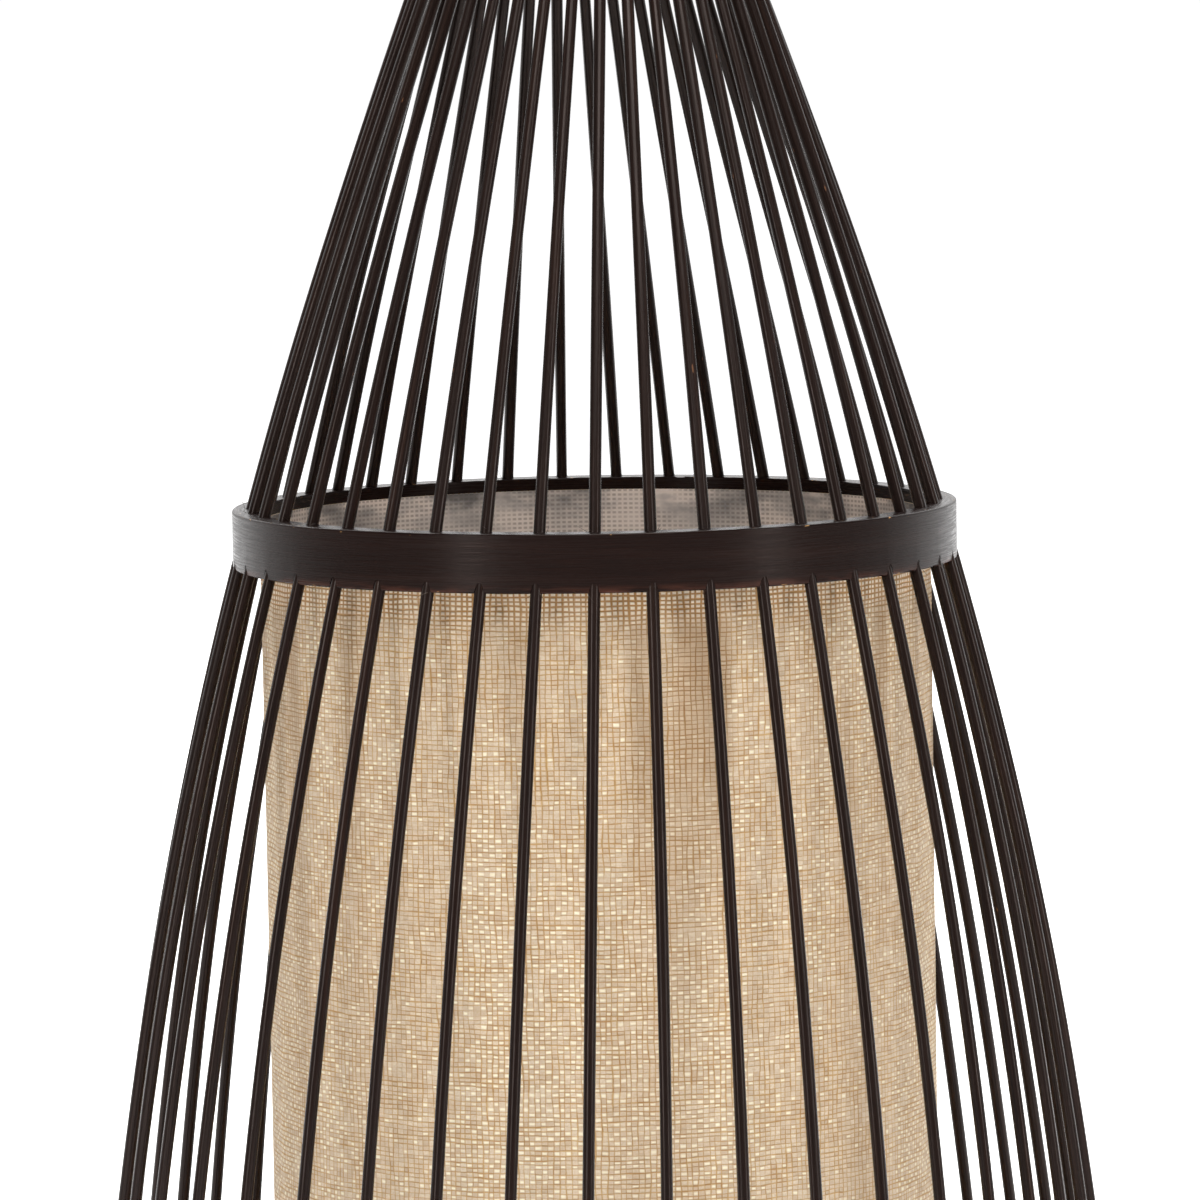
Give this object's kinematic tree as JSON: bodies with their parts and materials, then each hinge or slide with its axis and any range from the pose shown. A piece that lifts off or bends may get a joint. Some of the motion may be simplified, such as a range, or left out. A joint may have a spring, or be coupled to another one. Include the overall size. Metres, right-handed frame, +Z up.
{
  "type": "bamboo lantern lamp",
  "caption": "Free-standing lantern lamp: dark bent bamboo rods through wooden hoops, with a linen drum shade and a screw-in bulb inside.",
  "frame": {"origin": "centre of the base hoop's lower face, on the floor", "axes": "+Z up along the lamp's axis, -Y is the front, +X to the right seen from the front"},
  "size_m": [0.357, 0.357, 0.6],
  "materials": {
    "bamboo": "dark brown-black stained bamboo, satin",
    "hoop_wood": "dark brown-black stained bent wood, glossy, fine grain",
    "slat_wood": "dark stained wood, satin",
    "steel": "zinc plated",
    "linen": "natural linen, open plain weave",
    "liner": "translucent lampshade film",
    "black_plastic": "moulded black, satin",
    "porcelain": "glazed porcelain",
    "brass": "bright",
    "dark_glass": "black lamp glass",
    "nickel": "rolled thread shell",
    "clear_glass": "clear blown glass",
    "filament": "drawn wire"
  },
  "bodies": {
    "cage": {"rod_01": "bamboo", "rod_02": "bamboo", "rod_03": "bamboo", "rod_04": "bamboo", "rod_05": "bamboo", "rod_06": "bamboo", "rod_07": "bamboo", "rod_08": "bamboo", "rod_09": "bamboo", "rod_10": "bamboo", "rod_11": "bamboo", "rod_12": "bamboo", "rod_13": "bamboo", "rod_14": "bamboo", "rod_15": "bamboo", "rod_16": "bamboo", "rod_17": "bamboo", "rod_18": "bamboo", "rod_19": "bamboo", "rod_20": "bamboo", "rod_21": "bamboo", "rod_22": "bamboo", "rod_23": "bamboo", "rod_24": "bamboo", "rod_25": "bamboo", "rod_26": "bamboo", "rod_27": "bamboo", "rod_28": "bamboo", "rod_29": "bamboo", "rod_30": "bamboo", "rod_31": "bamboo", "rod_32": "bamboo", "rod_33": "bamboo", "rod_34": "bamboo", "rod_35": "bamboo", "rod_36": "bamboo", "rod_37": "bamboo", "rod_38": "bamboo", "rod_39": "bamboo", "rod_40": "bamboo", "rod_41": "bamboo", "top_hoop": "hoop_wood", "mid_hoop": "hoop_wood", "base_hoop": "hoop_wood", "slat_across": "slat_wood", "slat_along": "slat_wood", "cord_nipple": "steel", "nipple_nuts": "steel", "shade_fabric": "linen", "shade_liner": "liner", "holder_cap": "black_plastic", "holder_body": "black_plastic", "holder_insert": "porcelain", "holder_shell": "brass", "holder_contact": "brass"},
    "bulb_carrier": {"bulb_tip": "brass"},
    "bulb": {"bulb_insulator": "dark_glass", "bulb_cap": "nickel", "bulb_glass": "clear_glass", "bulb_filament": "filament"}
  },
  "joints": [
    {"name": "bulb_lift", "type": "slide", "parent": "cage", "child": "bulb_carrier", "axis": [0, 0, 1], "range_m": [0, 0.0218]},
    {"name": "bulb_turn", "type": "hinge", "parent": "bulb_carrier", "child": "bulb", "pos_m": [0, 0, 0.06], "axis": [0, 0, 1], "range_deg": [0, 2160]}
  ],
  "couplings": [
    {"joint": "bulb_lift", "follows": "bulb_turn", "m_per_rad": 0.00057757}
  ]
}
